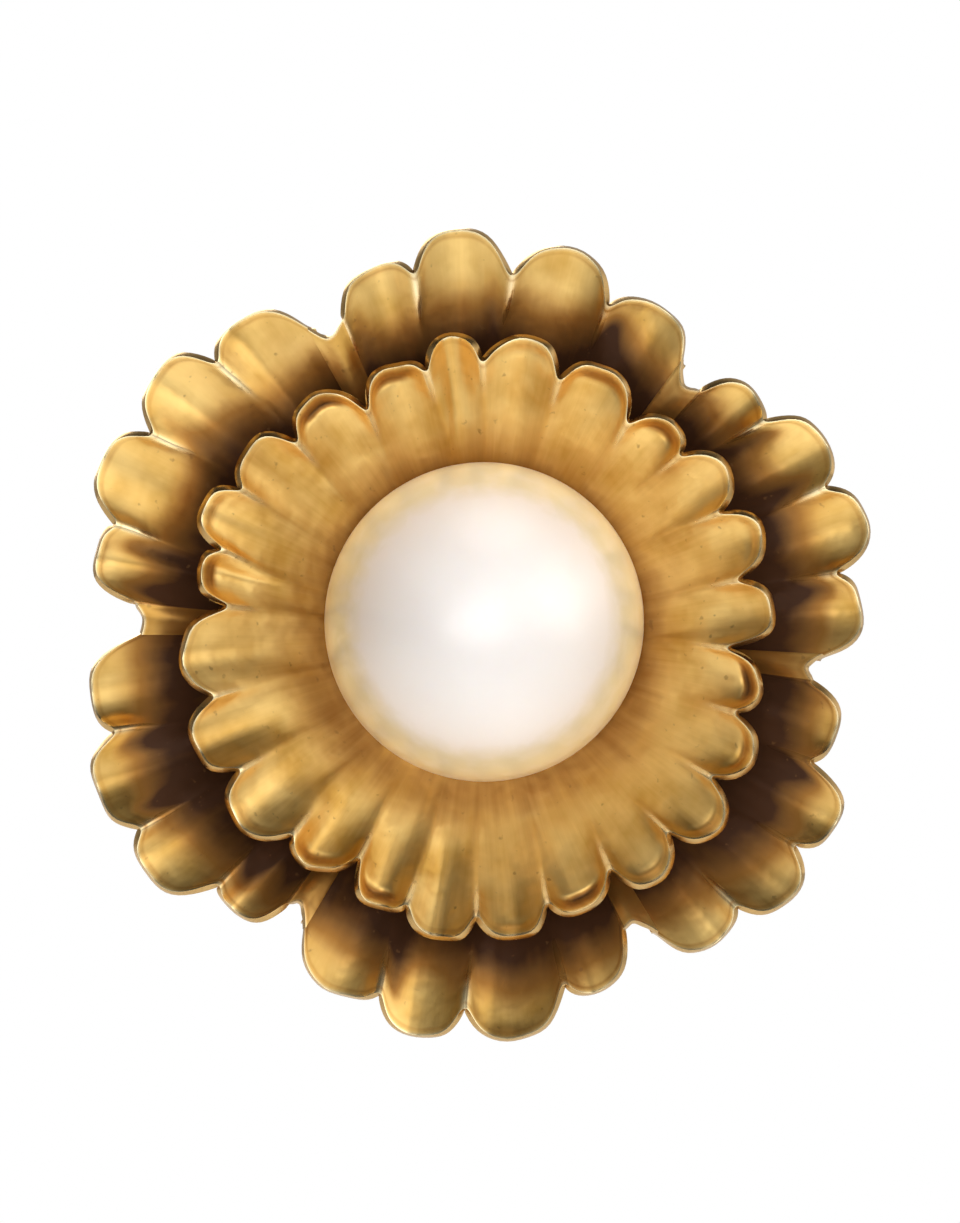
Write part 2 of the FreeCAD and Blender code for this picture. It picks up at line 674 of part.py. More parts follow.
def make_outer_petals():
    thickness = size("sizes.petal_sheet")
    plate_top = size("sizes.plate_thickness")
    root_radius = size("sizes.petal_root_radius")
    reach = size("sizes.petal_reach")
    share = reach / max(tip_radius(outline) for outline in PETAL_LOBES)
    petals = [redrawn(outline, share) for outline in PETAL_LOBES]
    laps = [redrawn(lap, share) for lap in LAPS]
    blank_length = BLANK_OVERSIZE * reach
    press = Press(size("sizes.petal_tool_radius"), thickness, size("sizes.petal_flare"),
                  root_radius, size(PETAL_TOP), blank_length)
    for number, outline in enumerate(petals):
        below = laps[number][2]
        above = laps[(number + 1) % len(laps)]
        turn = 0.0 if above[0][0] > below[0] else FULL_TURN
        lap = [(angle + turn, radius) for angle, radius in above]
        start = (below[0] - UNDERLAP_ANGLE, below[1])
        notches = [start] + outline[1::2] + [lap[0]]
        pieces = press.lobes(notches, outline[0::2])
        last_middle = (notches[-2][0] + notches[-1][0]) / 2
        pieces.append(lap_flange(press, last_middle, lap, size("sizes.lap_inner_radius"),
                                 blank_length))
        pressed = joined(pieces)
        # The petal leans like a roof tile: its flange rises and its first edge sinks
        mean_angle = (start[0] + lap[0][0]) / 2
        pressed.rotate(Vector(0, 0, press.floor_top), polar(mean_angle, 1.0),
                       size("sizes.petal_tilt"))
        root = Part.makeCylinder(root_radius, thickness, Vector(0, 0, plate_top), Vector(0, 0, 1),
                                 lap[0][0] - start[0])
        root.rotate(Vector(), Vector(0, 0, 1), start[0])
        petal = joined([pressed, root])
        below_plate = Part.makeCylinder(blank_length, reach, Vector(0, 0, plate_top - reach))
        petal = petal.cut(below_plate).cut(post_hole(plate_top, press.floor_top)).Solids[0]
        sheet_feature("outer_petal_%d" % (number + 1), petal)


def make_inner_cup():
    thickness = size("sizes.cup_sheet")
    floor_radius = size("sizes.cup_floor_radius")
    floor_top = size(CUP_TOP)
    reach = size("sizes.cup_reach")
    outline = redrawn(CUP_LOBES, reach / tip_radius(CUP_LOBES))
    press = Press(size("sizes.cup_tool_radius"), thickness, size("sizes.cup_flare"), floor_radius,
                  floor_top, BLANK_OVERSIZE * reach)
    notches = outline[1::2]
    before = (notches[-1][0] - FULL_TURN, notches[-1][1])
    pieces = press.lobes([before] + notches, outline[0::2])
    floor = Part.makeCylinder(floor_radius, thickness, Vector(0, 0, floor_top - thickness))
    cup = joined(pieces + [floor])
    cup = cup.cut(post_hole(floor_top - thickness, floor_top)).Solids[0]
    sheet_feature("inner_cup", cup)


make_pearl()
make_centre_post()
make_pearl_pad()
make_inner_cup()
make_spacer_collar()
make_outer_petals()
make_back_plate()
make_post_nut()
make_hinge_base()
make_hinge_rivet()
make_pin_stem()
make_catch_base()
make_catch_rotor()
doc.recompute()

NODES = ["pearl", "centre_post", "pearl_pad", "inner_cup", "spacer_collar"]
NODES += ["outer_petal_%d" % number for number in range(1, len(PETAL_LOBES) + 1)]
NODES += ["back_plate", "post_nut", "hinge_base", "hinge_rivet", "pin_stem", "catch_base",
          "catch_rotor"]

for obj in doc.Objects:
    if "Invalid" in obj.State or "Error" in obj.State:
        raise RuntimeError("%s did not compute: %s" % (obj.Label, obj.State))

os.makedirs("parts", exist_ok=True)
for node in NODES:
    piece = doc.getObjectsByLabel(node)[0].Shape
    if piece.isNull() or not piece.isValid():
        raise RuntimeError("%s has no valid shape" % node)
    print("%-16s volume %9.2f  solids %d  valid %s" % (node, piece.Volume, len(piece.Solids),
                                                       piece.isValid()))
for node in NODES:
    piece = doc.getObjectsByLabel(node)[0].Shape
    piece.exportStep("parts/%s.step" % node)
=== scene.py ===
# %% [markdown]
# # A flower brooch with a pearl
# The real brooch is a stack on one turned post: a back plate, six pressed petals, a collar, a
# fluted inner cup, a flat pad and a large imitation pearl. A hinged pin and a rolling safety
# catch are soldered to the back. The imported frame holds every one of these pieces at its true
# size, so this lesson only has to give each piece the surface that the eye meets.

# %% Load the frame
import math
import bmesh
import bpy
from mathutils import Matrix, Vector


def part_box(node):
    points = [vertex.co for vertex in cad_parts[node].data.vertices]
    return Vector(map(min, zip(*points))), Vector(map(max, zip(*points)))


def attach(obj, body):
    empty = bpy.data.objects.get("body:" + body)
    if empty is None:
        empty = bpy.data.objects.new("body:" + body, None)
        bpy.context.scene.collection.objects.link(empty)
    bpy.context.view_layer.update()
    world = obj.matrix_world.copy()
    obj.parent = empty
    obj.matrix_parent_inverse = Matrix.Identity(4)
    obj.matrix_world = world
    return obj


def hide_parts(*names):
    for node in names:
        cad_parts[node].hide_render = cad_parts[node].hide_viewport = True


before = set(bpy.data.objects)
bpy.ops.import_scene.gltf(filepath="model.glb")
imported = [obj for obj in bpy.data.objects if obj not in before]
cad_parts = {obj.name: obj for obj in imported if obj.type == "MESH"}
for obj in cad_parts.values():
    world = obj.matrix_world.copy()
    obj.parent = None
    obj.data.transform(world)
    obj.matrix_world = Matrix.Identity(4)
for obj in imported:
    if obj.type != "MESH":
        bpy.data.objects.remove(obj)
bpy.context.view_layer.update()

# %% [markdown]
# ## The jeweller's bench frame
# A brooch maker draws the flower lying face up, with heights measured from the back of the
# back plate. Blender holds it upright and in metres. One small function turns a bench point into
# a worn point, so every later number can stay in the maker's millimetres.

# %% From the bench to the worn brooch
MM = 0.001
FLOWER_MIDDLE = (-0.25, -1.1)


def worn(x, up, height):
    """A bench point, in millimetres from the post's axis, as the brooch is worn."""
    return Vector((x, -height, up)) * MM


def on_flower(angle, radius, height):
    """A point given by its angle and radius about the flower's middle."""
    turn = math.radians(angle)
    return worn(FLOWER_MIDDLE[0] + radius * math.cos(turn),
                FLOWER_MIDDLE[1] + radius * math.sin(turn), height)


def ease(low, high, value):
    """A smooth step from 0 at low to 1 at high."""
    share = min(max((value - low) / (high - low), 0.0), 1.0)
    return share * share * (3 - 2 * share)


def bell(value, middle, width):
    """A smooth hump, 1 at its middle and fading on both sides."""
    return math.exp(-((value - middle) / width) ** 2)


def shown(name, bm):
    """Turns a finished bmesh into an object of the scene."""
    mesh = bpy.data.meshes.new(name)
    bm.to_mesh(mesh)
    bm.free()
    piece = bpy.data.objects.new(name, mesh)
    bpy.context.scene.collection.objects.link(piece)
    return piece


print("flower's middle", on_flower(0, 0, 0))

# %% [markdown]
# ## Gold that has been brushed and then polished on its edges
# The petals are gilt brass. A fine brush was drawn out from the middle, so the grain runs along
# the flutes, and only the rims were polished afterwards, so they are smoother and carry a paler
# painted highlight. The grain can be made from a noise that hardly changes along a radius and
# changes fast around the flower. Feeding the noise with the direction from the middle, times a
# large number, does that without any seam. The deep part between the two rings, under the cup's
# rim, the creases and the floor round the pearl get a dark brown painted shade, which each sheet
# carries as a painted value. The backs of the sheets keep only a breath of it. Cut edges are
# darker and smoother, the small findings are buffed to fine hairlines, and the back plate was
# faced on a lathe, so its very faint marks run in rings.

# %% Small helpers for materials
def new_material(name):
    material = bpy.data.materials.new(name)
    material.use_nodes = True
    tree = material.node_tree
    return material, tree, tree.nodes["Principled BSDF"]


def feed(tree, source, target):
    tree.links.new(source, target)


def math_node(tree, operation, first, second=None, clamp=False):
    """A Math node. Its inputs are sockets or plain numbers."""
    made = tree.nodes.new("ShaderNodeMath")
    made.operation = operation
    made.use_clamp = clamp
    for index, value in enumerate((first, second)):
        if value is None:
            continue
        if isinstance(value, (int, float)):
            made.inputs[index].default_value = value
        else:
            tree.links.new(value, made.inputs[index])
    return made.outputs[0]


def vector_node(tree, operation, first, second=None, scale=None):
    """A Vector Math node. Its inputs are sockets or plain triples."""
    made = tree.nodes.new("ShaderNodeVectorMath")
    made.operation = operation
    for index, value in enumerate((first, second)):
        if value is None:
            continue
        if isinstance(value, tuple):
            made.inputs[index].default_value = value
        else:
            tree.links.new(value, made.inputs[index])
    if scale is not None:
        made.inputs["Scale"].default_value = scale
    return made.outputs["Value" if operation == "LENGTH" else "Vector"]


def mixed(tree, share, first, second):
    """A colour between two colours, by a socket or a number."""
    made = tree.nodes.new("ShaderNodeMix")
    made.data_type = "RGBA"
    for socket, value in ((made.inputs[0], share), (made.inputs[6], first),
                          (made.inputs[7], second)):
        if isinstance(value, tuple):
            socket.default_value = (*value, 1.0)
        elif isinstance(value, float):
            socket.default_value = value
        else:
            tree.links.new(value, socket)
    return made.outputs[2]


def noise(tree, vector, scale, detail=3.0, roughness=0.55):
    made = tree.nodes.new("ShaderNodeTexNoise")
    made.inputs["Scale"].default_value = scale
    made.inputs["Detail"].default_value = detail
    made.inputs["Roughness"].default_value = roughness
    tree.links.new(vector, made.inputs["Vector"])
    return made.outputs["Fac"]


def stretched(tree, value, low, high, to_low=0.0, to_high=1.0):
    """A number mapped from one range to another, and held inside it."""
    made = tree.nodes.new("ShaderNodeMapRange")
    made.clamp = True
    tree.links.new(value, made.inputs["Value"])
    for name, number in (("From Min", low), ("From Max", high), ("To Min", to_low),
                         ("To Max", to_high)):
        made.inputs[name].default_value = number
    return made.outputs["Result"]


def bumped(tree, height, strength, distance, normal=None):
    made = tree.nodes.new("ShaderNodeBump")
    made.inputs["Strength"].default_value = strength
    made.inputs["Distance"].default_value = distance * MM
    tree.links.new(height, made.inputs["Height"])
    if normal is not None:
        tree.links.new(normal, made.inputs["Normal"])
    return made.outputs["Normal"]


# %% The satin gold
GOLD_PALE = (0.92, 0.63, 0.22)
GOLD_DEEP = (0.63, 0.36, 0.080)
GOLD_ORANGE = (0.52, 0.235, 0.045)
# A paler gold, painted as a highlight on polished rims and ridge ends
GOLD_PAINTED_HIGHLIGHT = (0.97, 0.84, 0.52)
# The brown of the painted shade under the cup's rim and in the creases
PAINTED_SHADE_BROWN = (0.058, 0.024, 0.011)
PIT_BROWN = (0.22, 0.11, 0.04)
# How much of the painted shade the backs of the sheets keep
BACK_SHADE_SHARE = 0.12
# How fast the grain changes round the flower, and along a radius for each millimetre
GRAIN_AROUND = 55.0
GRAIN_ALONG = 0.16
# How many features of each kind fit in a metre
SMUDGE_SCALE = 130.0
CLOUD_SCALE = 210.0
DENT_SCALE = 620.0
PIT_SCALE = 1500.0
SATIN_ROUGHNESS = (0.31, 0.39)
MM_IN_METRE = 1000.0


def flower_coordinates(tree):
    """The direction from the flower's middle, and the distance from it in millimetres."""
    place = tree.nodes.new("ShaderNodeTexCoord").outputs["Object"]
    from_middle = vector_node(tree, "SUBTRACT", place,
                              (FLOWER_MIDDLE[0] * MM, 0.0, FLOWER_MIDDLE[1] * MM))
    flat = vector_node(tree, "MULTIPLY", from_middle, (MM_IN_METRE, 0.0, MM_IN_METRE))
    return place, vector_node(tree, "NORMALIZE", flat), vector_node(tree, "LENGTH", flat)


def painted(tree, name):
    """A value that a sheet's points carry."""
    made = tree.nodes.new("ShaderNodeAttribute")
    made.attribute_name = name
    return made.outputs["Fac"]


def satin_gold(name, shade_share):
    """Brushed gilt brass, with painted shade in its hollows, stains, pits, and polished lines with
    a painted highlight.
    """
    material, tree, surface = new_material(name)
    place, direction, distance = flower_coordinates(tree)
    along = tree.nodes.new("ShaderNodeCombineXYZ")
    feed(tree, math_node(tree, "MULTIPLY", distance, GRAIN_ALONG), along.inputs["Y"])
    around = vector_node(tree, "SCALE", direction, scale=GRAIN_AROUND)
    grain_place = vector_node(tree, "ADD", around, along.outputs[0])
    grain = noise(tree, grain_place, 1.0, 5.0, 0.62)
    streaks = noise(tree, grain_place, 0.32, 3.0, 0.5)
    clouds = noise(tree, place, CLOUD_SCALE, 3.0, 0.5)
    smudges = stretched(tree, noise(tree, place, SMUDGE_SCALE, 4.0, 0.6), 0.52, 0.70)
    pits = stretched(tree, noise(tree, place, PIT_SCALE, 2.0, 0.4), 0.70, 0.78)
    polish_and_highlight = painted(tree, "polish_and_highlight")

    # The gold's tone, from grain, streaks and clouds, with a paler painted highlight on the
    # polished rims and ridges
    tone = math_node(tree, "ADD", math_node(tree, "MULTIPLY", grain, 0.14),
                     math_node(tree, "MULTIPLY", streaks, 0.08))
    tone = math_node(tree, "ADD", tone, math_node(tree, "MULTIPLY", clouds, 0.78))
    gold = mixed(tree, stretched(tree, tone, 0.34, 0.60), GOLD_DEEP, GOLD_PALE)
    gold = mixed(tree, polish_and_highlight, gold, GOLD_PAINTED_HIGHLIGHT)

    # Painted shade from the sheet's painted value, with a ragged edge that runs through orange to
    # brown
    painted_shade = math_node(tree, "MULTIPLY", painted(tree, "painted_shade"), shade_share)
    stains = math_node(tree, "ADD", math_node(tree, "MULTIPLY", streaks, 0.35),
                       math_node(tree, "MULTIPLY", clouds, 0.65))
    ragged = math_node(tree, "ADD", painted_shade, math_node(tree, "MULTIPLY",
                       math_node(tree, "SUBTRACT", stains, 0.5), 0.7))
    gold = mixed(tree, math_node(tree, "MULTIPLY", smudges, 0.25), gold, GOLD_ORANGE)
    gold = mixed(tree, stretched(tree, ragged, 0.04, 0.45), gold, GOLD_ORANGE)
    shade = stretched(tree, ragged, 0.20, 0.95)
    gold = mixed(tree, shade, gold, PAINTED_SHADE_BROWN)
    gold = mixed(tree, math_node(tree, "MULTIPLY", pits, 0.45), gold, PIT_BROWN)
    feed(tree, gold, surface.inputs["Base Color"])
    feed(tree, stretched(tree, shade, 0.0, 1.0, 1.0, 0.3), surface.inputs["Metallic"])
    feed(tree, stretched(tree, shade, 0.0, 1.0, 0.5, 0.12),
         surface.inputs["Specular IOR Level"])

    rough = stretched(tree, grain, 0.3, 0.7, *SATIN_ROUGHNESS)
    smoothed = stretched(tree, polish_and_highlight, 0.0, 1.0, 1.0, 0.28)
    feed(tree, math_node(tree, "MULTIPLY", rough, smoothed), surface.inputs["Roughness"])
    normal = bumped(tree, grain, 0.12, 0.04)
    normal = bumped(tree, clouds, 0.5, 0.4, normal)
    normal = bumped(tree, noise(tree, place, DENT_SCALE, 2.0, 0.5), 0.22, 0.10, normal)
    normal = bumped(tree, pits, -0.3, 0.04, normal)
    feed(tree, normal, surface.inputs["Normal"])
    return material


# %% The buffed and the turned gold
SMEAR_SCALE = 260.0
HAIRLINES = (300.0, 4200.0, 900.0)
LATHE_RINGS = 5.0
HAIRLINE_BUMP = 0.12
LATHE_BUMP = 0.35
GILT = (0.80, 0.55, 0.25)
CUT_GOLD = (0.56, 0.36, 0.14)
GILT_STEEL = (0.72, 0.58, 0.36)


def polished_gold(name, tint, roughness, turned=False):
    """Gilt brass after the buffing wheel, with hairlines or with the lathe's rings."""
    material, tree, surface = new_material(name)
    place = tree.nodes.new("ShaderNodeTexCoord").outputs["Object"]
    smears = noise(tree, place, SMEAR_SCALE, 3.0)
    if turned:
        flat = vector_node(tree, "MULTIPLY", place, (MM_IN_METRE, 0.0, MM_IN_METRE))
        ring = tree.nodes.new("ShaderNodeCombineXYZ")
        feed(tree, math_node(tree, "MULTIPLY", vector_node(tree, "LENGTH", flat), LATHE_RINGS),
             ring.inputs["X"])
        hairs = noise(tree, ring.outputs[0], 1.0, 3.0)
    else:
        hairs = noise(tree, vector_node(tree, "MULTIPLY", place, HAIRLINES), 1.0, 2.0)
    darker = tuple(channel * 0.9 for channel in tint)
    feed(tree, mixed(tree, stretched(tree, smears, 0.25, 0.75), darker, tint),
         surface.inputs["Base Color"])
    surface.inputs["Metallic"].default_value = 1.0
    feed(tree, stretched(tree, smears, 0.3, 0.7, roughness * 0.7, roughness * 1.4),
         surface.inputs["Roughness"])
    bump = LATHE_BUMP if turned else HAIRLINE_BUMP
    feed(tree, bumped(tree, hairs, bump, 0.03), surface.inputs["Normal"])
    return material


SATIN = satin_gold("satin_gold", 1.0)
SATIN_BACK = satin_gold("satin_gold_back", BACK_SHADE_SHARE)
CUT_EDGE = polished_gold("cut_edge", CUT_GOLD, 0.26)
FINDING = polished_gold("gilt_finding", GILT, 0.20)
TURNED = polished_gold("turned_gilt_plate", GILT, 0.26, turned=True)
WIRE = polished_gold("gilt_steel_wire", GILT_STEEL, 0.16)
print("metals", SATIN.name, CUT_EDGE.name, FINDING.name, TURNED.name, WIRE.name)

# %% [markdown]
# ## How a pressed sheet is shaped
# Each sheet starts as a flat blank with a scalloped edge. The press raises it towards the rim,
# sinks a scoop into every lobe and leaves a narrow ridge that runs in from every notch. A grid of
# quads follows that well: its columns go round the flower and its rows go from the middle to the
# edge. The grid is made by one operator, and one function says where each of its points goes.
# Columns gather near the notches and rows gather near the edge, where the form is sharpest.

# %% The scalloped edge
NOTCH_FILLET = 0.19
COLUMN_GATHER = 0.08
ROW_GATHER = 1.7


class Lobe:
    """One lobe of a sheet: the notch before its tip, the tip, and the notch after it."""

    def __init__(self, start, tip, end, bulge, curl=0.0, fold=0.0):
        self.start, self.tip, self.end = start, tip, end
        self.bulge, self.curl, self.fold = bulge, curl, fold

    def at(self, share):
        """Angle, edge radius, and how near to the tip, for a share of the way round the lobe."""
        angle = self.start[0] + (self.end[0] - self.start[0]) * share
        notch = self.start if angle < self.tip[0] else self.end
        risen = abs(angle - notch[0]) / max(abs(self.tip[0] - notch[0]), 1e-6)
        risen = min(max(risen, 0.0), 1.0)
        chord = math.sqrt(1 - self.bulge)
        arc = (math.sqrt(1 - self.bulge * (1 - risen) ** 2) - chord) / (1 - chord)
        swell = arc * (1 - math.exp(-(risen / NOTCH_FILLET) ** 1.5))
        return angle, notch[1] + (self.tip[1] - notch[1]) * swell, risen


def gathered(share):
    """Shares of a lobe, drawn together towards its two notches."""
    return share - COLUMN_GATHER * math.sin(2 * math.pi * share)


def towards_edge(out):
    """Shares of the way from the middle to the edge, drawn together towards the edge."""
    return 1 - (1 - out) ** ROW_GATHER


def hand_cut(angle):
    """How far the shears strayed from the drawn edge."""
    turn = math.radians(angle)
    return (0.09 * math.sin(19 * turn + 1) + 0.07 * math.sin(31 * turn + 2)
            + 0.05 * math.sin(53 * turn))


def crest(risen, side):
    """The height of a ridge, 1 in its notch and 0 at the tip, steeper on one side."""
    return math.cos(math.pi / 2 * risen ** (1.0 + 0.3 * side)) ** 2


print("a lobe's edge half way up", Lobe((0, 20), (7, 23), (14, 20), 0.85).at(0.25))

# %% A grid laid out by a function
# A thin painted shade line just inside the edge: how far in it lies, and how wide it is
RIM_SHADE_LINE = (0.42, 0.16)
SHEET = 0.6
EDGE_ROUNDING = 0.13
EDGE_ANGLE = 50


def sheet_from_grid(name, columns, rows, point, closed=False):
    """A mesh whose point at (across, out) is point(across, out) -> (place, painted shade, polish
    with its painted highlight).
    """
    bm = bmesh.new()
    bmesh.ops.create_grid(bm, x_segments=columns, y_segments=rows, size=1.0)
    painted_shade = bm.verts.layers.float.new("painted_shade")
    polish_and_highlight = bm.verts.layers.float.new("polish_and_highlight")
    for vert in bm.verts:
        across, out = (vert.co.x + 1) / 2, (vert.co.y + 1) / 2
        vert.co, vert[painted_shade], vert[polish_and_highlight] = point(across, out)
    if closed:
        bmesh.ops.remove_doubles(bm, verts=bm.verts, dist=0.002 * MM)
    bmesh.ops.recalc_face_normals(bm, faces=bm.faces)
    face_on = sum(face.normal.y * face.calc_area() for face in bm.faces)
    if face_on > 0:
        bmesh.ops.reverse_faces(bm, faces=bm.faces)
    for face in bm.faces:
        face.smooth = True
    return shown(name, bm)


def thickened(piece, thickness):
    """Gives a sheet its gauge, with a smooth cut edge that is rounded, and a plainer back."""
    for material in (SATIN, CUT_EDGE, SATIN_BACK):
        piece.data.materials.append(material)
    wall = piece.modifiers.new("gauge", "SOLIDIFY")
    wall.thickness = thickness * MM
    wall.offset = -1
    wall.material_offset_rim = 1
    wall.material_offset = 2
    rounding = piece.modifiers.new("rounded_edge", "BEVEL")
    rounding.width = EDGE_ROUNDING * MM
    rounding.segments = 3
    rounding.limit_method = "ANGLE"
    rounding.angle_limit = math.radians(EDGE_ANGLE)
    rounding.material = -1
    return piece


# %% [markdown]
# ## The inner cup
# The inner flower is one sheet with twenty-four lobes in six groups of four. It rises from a flat
# floor under the pearl and flares towards the rim. Each lobe is given as its tip and the notch
# that follows, with a curl where the real rim turns towards the eye.

# %% The cup's lobes
# Angle in degrees and radius in millimetres
CUP_TIPS = [
    (5.0, 23.0), (20.5, 23.4), (34.2, 23.3), (47.9, 22.5), (64.8, 23.2), (81.2, 23.6),
    (95.8, 23.6), (109.0, 22.4), (125.2, 23.0), (141.4, 23.5), (155.3, 24.0), (166.5, 22.7),
    (183.8, 23.5), (201.2, 24.1), (217.2, 24.1), (232.5, 22.5), (248.2, 22.7), (261.3, 23.9),
    (276.3, 23.8), (291.2, 22.9), (306.2, 23.6), (320.3, 24.0), (335.2, 23.4), (349.5, 22.3),
]
CUP_NOTCHES = [
    (12.3, 20.8), (27.5, 21.2), (42.3, 21.1), (55.5, 20.3), (73.0, 21.2), (89.8, 21.6),
    (101.7, 21.3), (116.7, 19.8), (133.5, 21.1), (148.5, 22.1), (161.5, 21.6), (173.2, 20.0),
    (192.7, 21.5), (209.0, 21.6), (226.5, 21.5), (241.3, 20.0), (254.5, 21.9), (269.0, 22.0),
    (284.0, 21.7), (299.0, 21.0), (313.5, 21.3), (328.5, 21.3), (343.3, 20.9), (357.3, 19.5),
]
# How far each tip turns towards the eye, and how deep a fold runs behind its edge
CUP_CURLS = [
    0.2, 0.1, 0.3, 0.9, 0.8, 0.2,
    0.1, 0.8, 0.9, 0.1, 0.2, 0.8,
    0.1, 0.2, 0.3, 0.7, 0.6, 0.2,
    0.3, 0.9, 0.2, 0.4, 0.5, 0.9,
]
CUP_FOLDS = [
    0.0, 0.2, 0.0, 0.7, 0.5, 0.2,
    0.0, 0.6, 1.0, 0.0, 0.3, 0.5,
    0.0, 0.0, 0.2, 0.5, 0.8, 0.0,
    0.2, 1.0, 0.3, 0.3, 0.5, 1.0,
]
# How far in from the rim the ridge of each notch runs, in millimetres
CUP_RIDGES = [
    4.0, 4.5, 3.0, 3.5, 7.0, 9.0,
    8.0, 5.0, 5.0, 6.0, 5.0, 6.0,
    7.0, 6.0, 7.0, 5.0, 8.0, 7.0,
    6.0, 3.2, 2.8, 2.8, 3.2, 5.0,
]
CUP_BULGE = 0.84
FULL_TURN = 360.0
before_first = (CUP_NOTCHES[-1][0] - FULL_TURN, CUP_NOTCHES[-1][1])
CUP_LOBES = [Lobe(start, tip, end, CUP_BULGE, curl, fold) for start, tip, end, curl, fold
             in zip([before_first] + CUP_NOTCHES[:-1], CUP_TIPS, CUP_NOTCHES, CUP_CURLS,
                    CUP_FOLDS)]
print(len(CUP_LOBES), "lobes round the cup")

# %% The cup's surface
# The shears can stray outwards, so the drawn edge is first taken back, inside the frame's
CUP_TRIM = 0.22
CUP_FLOOR = 4.6
CUP_FLOOR_RADIUS = 11.5
CUP_RIM_RADIUS = 23.5
CUP_RISE = 5.7
CUP_FLARE_POWER = 1.45
CUP_INNER_RADIUS = 2.4
CUP_COLUMNS = 22
CUP_ROWS = 46


def wavy(angle, radius, amount):
    """The slow unevenness of a sheet that was finished by hand."""
    turn = math.radians(angle)
    return amount * (math.sin(3 * turn + 0.21 * radius) + 0.6 * math.sin(7 * turn - 0.33 * radius)
                     + 0.4 * math.sin(11 * turn + 0.5 * radius)) / 2


def drift(number, most):
    """How far the ridge of one notch wanders sideways on its way in, in degrees."""
    return most * math.sin(2.4 * number + 0.7) * math.cos(1.7 * number)


def cup_point(across, out):
    """Place, painted shade, and polish with its painted highlight, of one point of the cup."""
    number = min(int(across * len(CUP_LOBES)), len(CUP_LOBES) - 1)
    lobe = CUP_LOBES[number]
    share = gathered(across * len(CUP_LOBES) - number)
    angle, edge, risen = lobe.at(share)
    edge += hand_cut(angle) - CUP_TRIM
    out = towards_edge(out)
    radius = CUP_INNER_RADIUS + (edge - CUP_INNER_RADIUS) * out
    inside = edge - radius
    rise = max(radius - CUP_FLOOR_RADIUS, 0.0) / (CUP_RIM_RADIUS - CUP_FLOOR_RADIUS)
    height = CUP_FLOOR + CUP_RISE * rise ** CUP_FLARE_POWER
    nearest, before = (lobe.start, number) if angle < lobe.tip[0] else (lobe.end, number + 1)
    side = math.cos(5.1 * before) * (1 if before == number else -1)
    ridge_in = CUP_RIDGES[number - 1] + (CUP_RIDGES[number] - CUP_RIDGES[number - 1]) * share
    flute = 1 - ease(0.0, 1.25 * ridge_in + 1.0, inside)
    height += (0.75 + 0.07 * ridge_in) * flute * (crest(risen, side) - 0.45)
    beside = radius * math.radians(abs(angle - nearest[0]))
    near_rim = 1 - ease(0.0, 2.6, inside)
    height += 0.3 * near_rim * bell(beside, 0.0, 0.8)
    height += wavy(angle, radius, 0.32 * ease(12.5, 17.0, radius))
    lip = 1 - ease(0.0, 1.5, inside)
    height += max(lobe.curl - 0.3, 0.0) * 1.3 * lip * lip * risen
    groove = lobe.fold * ease(0.25, 0.8, risen) * bell(inside, 0.85, 0.28)
    height -= 0.45 * groove
    # Polished rim and ridge ends, with a paler painted highlight
    polish_and_highlight = 1 - ease(0.0, 0.2, inside)
    polish_and_highlight = max(polish_and_highlight, 0.8 * bell(beside, 0.0, 0.25) * (1 - ease(0.5, 3.0, inside)))
    # Painted shade: darker round the pearl, in the fold behind a curled tip, and in a thin line
    # inside the rim
    shadow = 0.40 * (1 - ease(12.0, 17.5, radius)) + 0.85 * groove
    shadow += 0.18 * bell(inside, *RIM_SHADE_LINE)
    angle += drift(before % len(CUP_LOBES), 2.8) * ease(0.0, 6.0, inside) * (1 - risen)
    return on_flower(angle, radius, height), shadow, polish_and_highlight


cup = sheet_from_grid("inner_cup_pressed", len(CUP_LOBES) * CUP_COLUMNS, CUP_ROWS, cup_point,
                      closed=True)
thickened(cup, SHEET)
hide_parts("inner_cup")
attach(cup, "flower")
print("cup faces", len(cup.data.polygons))

# %% [markdown]
# ## The six outer petals
# Each outer petal has four lobes and ends in a narrow flange. The flange lies over the start of
# the next petal, as roof tiles do, so every petal leans a little: its flange side is high and its
# first side is low. The shade under the cup's rim is painted on in dark brown, and it reaches a
# different radius in each lobe.

# %% The petals' lobes
# Tips and notches in turn, each an angle in degrees and a radius in millimetres
PETALS = [
    [(62.5, 29.7), (69.0, 28.0), (76.0, 31.4), (85.0, 28.8), (93.5, 32.1), (100.5, 29.2),
     (106.0, 30.5)],
    [(128.0, 31.5), (134.0, 30.1), (141.0, 33.1), (148.5, 30.5), (155.0, 33.0), (163.0, 30.2),
     (168.2, 31.1)],
    [(189.0, 31.2), (194.5, 29.9), (202.0, 32.8), (209.5, 30.8), (215.5, 32.4), (223.5, 28.7),
     (228.0, 29.2)],
    [(247.8, 30.5), (254.0, 29.3), (260.5, 32.1), (267.5, 29.3), (274.2, 32.0), (283.5, 28.4),
     (288.5, 29.5)],
    [(307.8, 30.6), (313.3, 29.4), (319.5, 32.1), (326.2, 29.7), (332.0, 31.9), (339.2, 27.9),
     (345.0, 29.1)],
    [(364.0, 30.2), (370.0, 28.6), (376.5, 31.9), (383.3, 29.5), (389.3, 31.4), (397.3, 28.1),
     (402.0, 28.9)],
]
# Where each petal's flange starts, its lowest point, and its free edge over the next petal
LAPS = [
    [(48.4, 26.0), (50.8, 25.5), (54.0, 27.0)],
    [(113.8, 27.3), (117.0, 26.5), (119.5, 27.9)],
    [(174.7, 27.4), (177.5, 26.7), (179.8, 26.9)],
    [(234.3, 26.1), (235.7, 25.5), (239.0, 27.0)],
    [(296.3, 25.8), (297.8, 25.6), (301.0, 27.3)],
    [(352.5, 26.4), (354.5, 25.9), (357.0, 27.1)],
]
